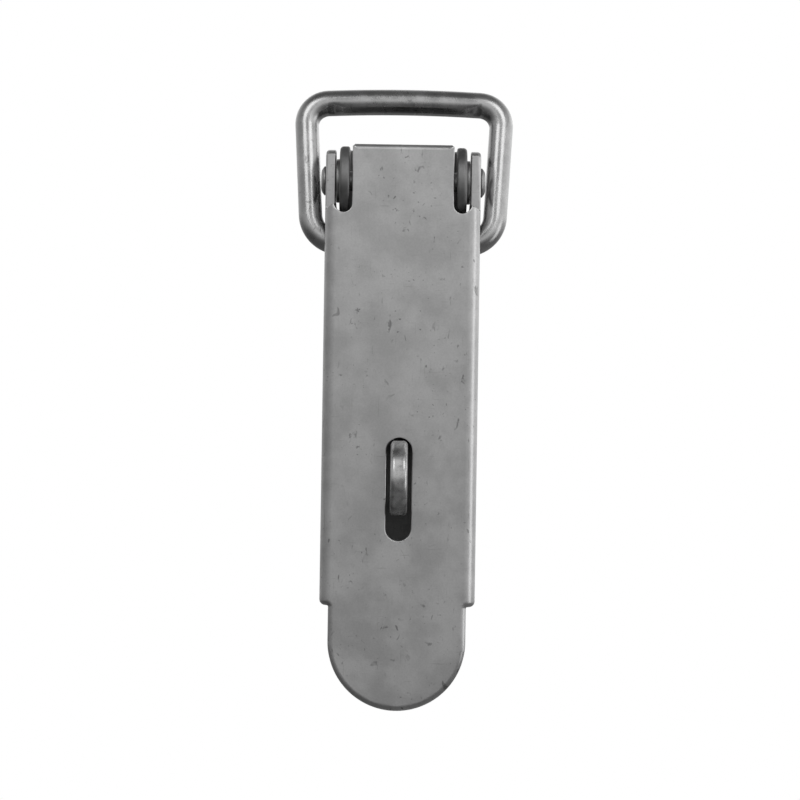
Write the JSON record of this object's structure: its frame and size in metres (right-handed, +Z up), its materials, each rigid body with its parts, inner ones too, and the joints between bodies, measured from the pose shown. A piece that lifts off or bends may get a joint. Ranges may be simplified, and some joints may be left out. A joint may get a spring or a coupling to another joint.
{
  "type": "over-centre toggle latch",
  "caption": "Over-centre toggle latch: pressed channel handle, hinged wire bail, folded base plate and a padlock staple through the handle's slot.",
  "frame": {"origin": "middle of the four mounting holes, on the back face of the base plate", "axes": "+Z up the mounting surface towards the bail, -Y out of it towards the user, +X to the right as seen from the front"},
  "size_m": [0.0556, 0.0327, 0.1571],
  "materials": {
    "plate_steel": "dull zinc-coated sheet steel",
    "staple_steel": "bright bent steel strip",
    "rivet_steel": "peened steel rivet",
    "washer_steel": "plain steel washer",
    "handle_steel": "dull mottled zinc-coated sheet steel",
    "wire_steel": "smooth bright drawn steel wire"
  },
  "bodies": {
    "base": {"base_plate": "plate_steel", "padlock_staple": "staple_steel", "pivot_rivet": "rivet_steel", "left_washer": "washer_steel", "right_washer": "washer_steel"},
    "handle": {"handle": "handle_steel"},
    "bail": {"bail": "wire_steel"}
  },
  "joints": [
    {"name": "handle_pivot", "type": "hinge", "parent": "base", "child": "handle", "pos_m": [0, -0.0135, 0.062], "axis": [-1, 0, 0], "range_deg": [0, 100]},
    {"name": "bail_swing", "type": "hinge", "parent": "handle", "child": "bail", "pos_m": [0, -0.011, 0.0464], "axis": [1, 0, 0], "range_deg": [0, 170]}
  ]
}
